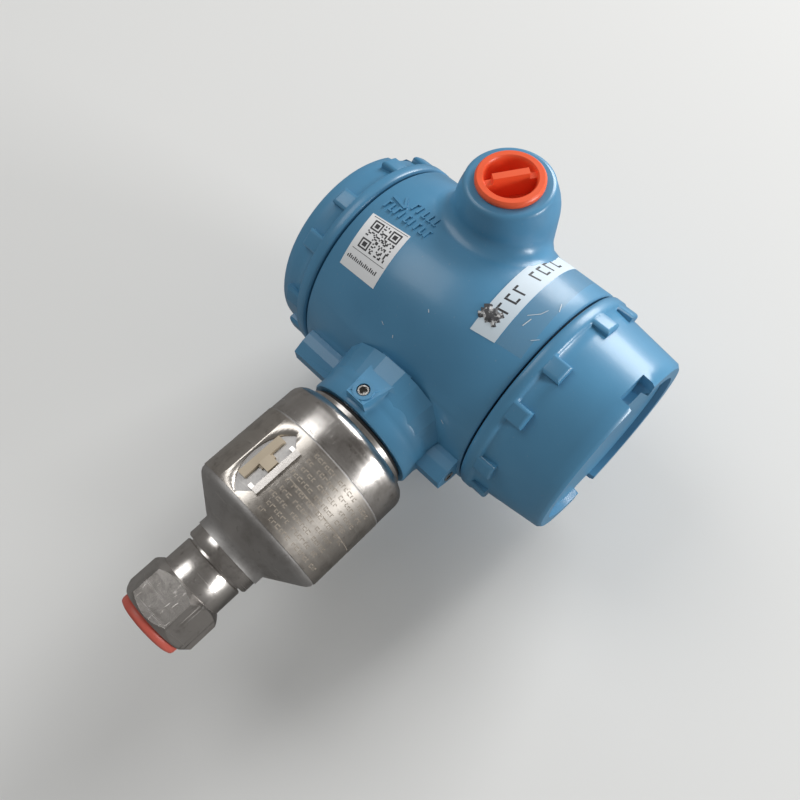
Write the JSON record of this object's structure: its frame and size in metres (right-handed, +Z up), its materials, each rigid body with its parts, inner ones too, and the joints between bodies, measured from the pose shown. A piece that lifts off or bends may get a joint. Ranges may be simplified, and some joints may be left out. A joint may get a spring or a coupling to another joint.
{
  "type": "pressure transmitter",
  "caption": "In-line pressure transmitter: painted die-cast housing with a screw cover at each end and a plugged conduit entry, on a stainless sensor body with a hex process connection.",
  "frame": {"origin": "on the sensor axis at the gauge plane of the process thread, 8.1 mm inside the hex's lower face", "axes": "+Z up the sensor axis, +Y along the housing's cover axis towards the terminals cover, -X out of the open conduit entry"},
  "size_m": [0.1144, 0.132, 0.1993],
  "materials": {
    "stainless": "turned, semi-bright",
    "stainless_blasted": "bead blasted on the cone",
    "stainless_foil": "thin rolled strip",
    "capsule_steel": "machined",
    "screw_steel": "plain bright",
    "zinc_steel": "zinc plated",
    "blue_paint": "glossy blue paint on die-cast aluminium",
    "seal_rubber": "black seal rubber",
    "orange_plastic": "moulded orange plug",
    "red_plastic": "moulded red cap",
    "clip_plastic": "moulded beige clip",
    "inner_plastic": "moulded black",
    "chip_plastic": "moulded black package",
    "carrier_plastic": "moulded dark grey",
    "block_plastic": "potted grey-blue block",
    "circuit_board": "glass-fibre board with solder mask"
  },
  "bodies": {
    "sensor_body": {"process_connection": "stainless", "sensor_shell": "stainless_blasted", "sensor_top_ring": "stainless", "neck_o_ring": "seal_rubber", "nameplate_band": "stainless_foil", "band_clip": "clip_plastic", "band_hasp": "stainless", "isolating_diaphragm": "stainless_foil", "pressure_capsule": "capsule_steel", "fill_tube": "capsule_steel", "sensor_posts": "inner_plastic", "sensor_board": "circuit_board", "header_stem": "inner_plastic", "cable_header": "inner_plastic"},
    "housing_body": {"housing": "blue_paint", "conduit_blank": "zinc_steel", "rotation_set_screw": "screw_steel", "jam_screws": "screw_steel", "electronics_carrier": "carrier_plastic", "main_board": "circuit_board", "board_chips": "chip_plastic", "display_socket": "inner_plastic", "carrier_screws": "screw_steel", "feed_through": "inner_plastic", "terminal_block": "block_plastic", "terminal_screws": "screw_steel", "terminal_clamps": "screw_steel", "block_screws": "screw_steel", "ground_screw": "screw_steel", "ground_washer": "screw_steel"},
    "electronics_cover_carriage": {"electronics_cover_o_ring": "seal_rubber"},
    "electronics_cover_body": {"electronics_cover": "blue_paint"},
    "terminal_cover_carriage": {"terminal_cover_o_ring": "seal_rubber"},
    "terminal_cover_body": {"terminal_cover": "blue_paint"},
    "conduit_plug_body": {"conduit_plug": "orange_plastic"},
    "process_cap_body": {"process_cap": "red_plastic"}
  },
  "joints": [
    {"name": "housing_rotation", "type": "hinge", "parent": "sensor_body", "child": "housing_body", "pos_m": [0, 0, 0.09], "axis": [0, 0, 1], "range_deg": [-180, 180]},
    {"name": "electronics_cover_travel", "type": "slide", "parent": "housing_body", "child": "electronics_cover_carriage", "axis": [0, -1, 0], "range_m": [0, 0.0101]},
    {"name": "electronics_cover_turn", "type": "hinge", "parent": "electronics_cover_carriage", "child": "electronics_cover_body", "pos_m": [0, -0.04, 0.1424], "axis": [0, -1, 0], "range_deg": [0, 1800]},
    {"name": "terminal_cover_travel", "type": "slide", "parent": "housing_body", "child": "terminal_cover_carriage", "axis": [0, 1, 0], "range_m": [0, 0.0101]},
    {"name": "terminal_cover_turn", "type": "hinge", "parent": "terminal_cover_carriage", "child": "terminal_cover_body", "pos_m": [0, 0.05, 0.1424], "axis": [0, 1, 0], "range_deg": [0, 1800]},
    {"name": "conduit_plug_pull", "type": "slide", "parent": "housing_body", "child": "conduit_plug_body", "axis": [-1, 0, 0], "range_m": [0, 0.045]},
    {"name": "process_cap_pull", "type": "slide", "parent": "sensor_body", "child": "process_cap_body", "axis": [0, 0, -1], "range_m": [0, 0.045]}
  ],
  "couplings": [
    {"joint": "electronics_cover_travel", "follows": "electronics_cover_turn", "m_per_rad": 0.00031831},
    {"joint": "terminal_cover_travel", "follows": "terminal_cover_turn", "m_per_rad": 0.00031831}
  ]
}
